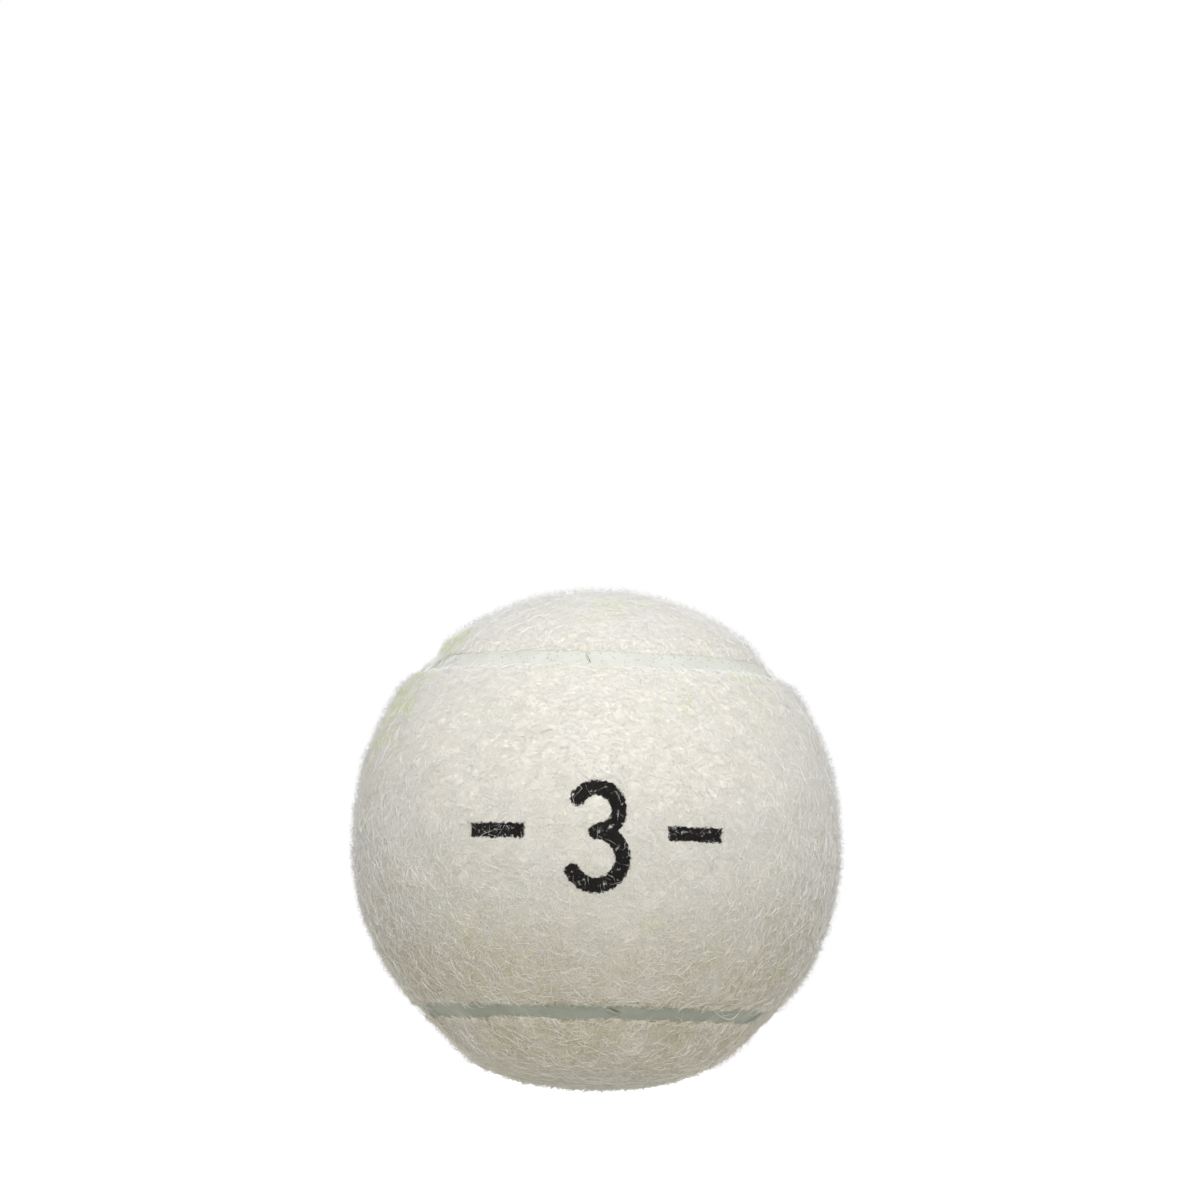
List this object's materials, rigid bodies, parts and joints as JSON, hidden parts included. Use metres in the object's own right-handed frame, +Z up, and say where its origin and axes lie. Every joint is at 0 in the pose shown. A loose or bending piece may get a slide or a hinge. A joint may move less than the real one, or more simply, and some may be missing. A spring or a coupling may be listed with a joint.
{
  "type": "tennis ball",
  "caption": "Hollow rubber tennis ball covered in white wool felt, cut as interlocked dumbbell panels with a recessed pale rubber seam between them.",
  "frame": {"origin": "centre of the ball", "axes": "+Z up as it lies in the picture, -Y towards the camera through the middle of the front felt panel's waist, +X to the camera's right through the middle of that panel's lobe"},
  "size_m": [0.067, 0.067, 0.067],
  "materials": {
    "felt": "matte",
    "seam": "matte",
    "core": "matte",
    "cement": "satin",
    "backing": "matte"
  },
  "bodies": {
    "root": {"core_half_upper": "core", "core_half_lower": "core", "core_rim_bond": "cement", "core_cement_coat": "cement", "felt_backing_front": "backing", "felt_backing_rear": "backing", "felt_panel_front": "felt", "felt_panel_rear": "felt", "seam_rubber": "seam"}
  },
  "joints": []
}
